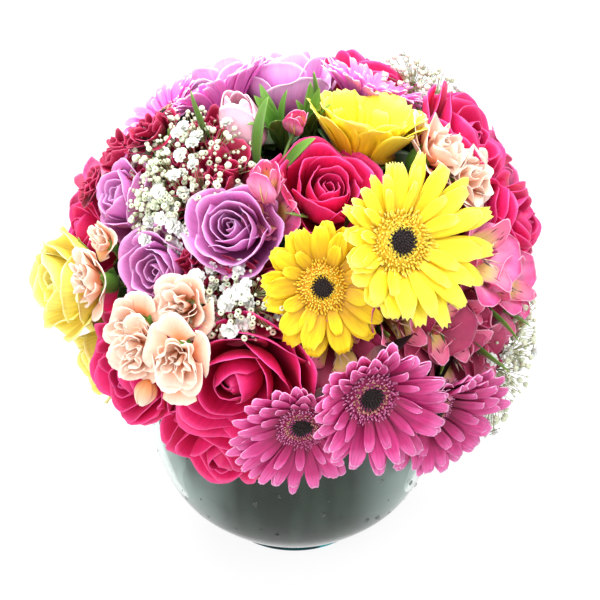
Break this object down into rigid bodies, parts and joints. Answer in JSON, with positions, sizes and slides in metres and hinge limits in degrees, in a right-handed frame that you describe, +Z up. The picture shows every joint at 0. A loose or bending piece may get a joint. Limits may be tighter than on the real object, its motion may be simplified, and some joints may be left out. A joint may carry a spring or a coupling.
{
  "type": "flower arrangement in a glass bowl",
  "caption": "Round mixed arrangement of roses, gerberas, spray carnations, alstroemeria, a tulip and gypsophila in a clear glass bubble bowl lined with a broad leaf",
  "frame": {"origin": "centre of the bowl's flat foot, on the surface that it stands on", "axes": "+Z is up the bowl's axis, -Y is the front of the arrangement, which faces the viewer, and +X is the viewer's right"},
  "size_m": [0.3055, 0.3173, 0.3263],
  "materials": {
    "rose_pink": "soft velvety petals, hot pink with paler rims",
    "rose_lilac": "soft petals, lilac with pale rims",
    "rose_yellow": "soft petals, pale lemon yellow, deeper in the heart",
    "gerbera_yellow": "thin satin rays, bright yellow",
    "gerbera_magenta": "thin satin rays, magenta with pale edges",
    "gerbera_pink": "thin satin rays, light pink",
    "gerbera_eye": "fine fuzz, near black brown",
    "carnation_peach": "thin frilled petals, pale peach",
    "carnation_crimson": "thin frilled petals, dark crimson",
    "alstroemeria": "satin petals, rose pink with a yellow green throat and dark streaks",
    "gypsophila": "small matt white double florets on thin pale green stalks",
    "tulip_petal": "smooth satin petals, pale pink",
    "green_leaf": "smooth green leaf",
    "clear_glass": "clear polished glass, faintly blue at the edges",
    "lining_leaf": "wet broad leaf, dark grey green",
    "wet_foam": "soaked floral foam, matt dark green"
  },
  "bodies": {
    "root": {"alstroemeria_crown": "alstroemeria", "alstroemeria_left": "alstroemeria", "alstroemeria_low": "alstroemeria", "alstroemeria_right": "alstroemeria", "alstroemeria_side": "alstroemeria", "carnation_crimson_back": "carnation_crimson", "carnation_crimson_left": "carnation_crimson", "carnation_peach_front": "carnation_peach", "carnation_peach_left": "carnation_peach", "carnation_peach_right": "carnation_peach", "floral_foam": "wet_foam", "gerbera_magenta_back": "gerbera_magenta", "gerbera_magenta_front": "gerbera_magenta", "gerbera_magenta_front_eye": "gerbera_eye", "gerbera_magenta_middle": "gerbera_magenta", "gerbera_magenta_middle_eye": "gerbera_eye", "gerbera_magenta_right": "gerbera_magenta", "gerbera_magenta_right_eye": "gerbera_eye", "gerbera_pink_back": "gerbera_pink", "gerbera_pink_crown_left": "gerbera_pink", "gerbera_pink_crown_right": "gerbera_pink", "gerbera_pink_left": "gerbera_pink", "gerbera_yellow_back": "gerbera_yellow", "gerbera_yellow_back_eye": "gerbera_eye", "gerbera_yellow_crown": "gerbera_yellow", "gerbera_yellow_front": "gerbera_yellow", "gerbera_yellow_front_eye": "gerbera_eye", "gerbera_yellow_right": "gerbera_yellow", "gerbera_yellow_right_eye": "gerbera_eye", "gerbera_yellow_side": "gerbera_yellow", "gerbera_yellow_side_eye": "gerbera_eye", "glass_bowl": "clear_glass", "gypsophila_back": "gypsophila", "gypsophila_front": "gypsophila", "gypsophila_left": "gypsophila", "gypsophila_right": "gypsophila", "leaf_lining": "lining_leaf", "leaves_crown": "green_leaf", "rose_lilac_back": "rose_lilac", "rose_lilac_back_low": "rose_lilac", "rose_lilac_front": "rose_lilac", "rose_lilac_left": "rose_lilac", "rose_lilac_side": "rose_lilac", "rose_lilac_top": "rose_lilac", "rose_pink_back": "rose_pink", "rose_pink_back_high": "rose_pink", "rose_pink_back_left": "rose_pink", "rose_pink_back_right": "rose_pink", "rose_pink_crown": "rose_pink", "rose_pink_front": "rose_pink", "rose_pink_front_left": "rose_pink", "rose_pink_left": "rose_pink", "rose_pink_low": "rose_pink", "rose_pink_right": "rose_pink", "rose_pink_right_high": "rose_pink", "rose_yellow_back": "rose_yellow", "rose_yellow_left": "rose_yellow", "rose_yellow_low": "rose_yellow", "tulip_petals": "tulip_petal", "tulip_stem": "green_leaf"}
  },
  "joints": []
}
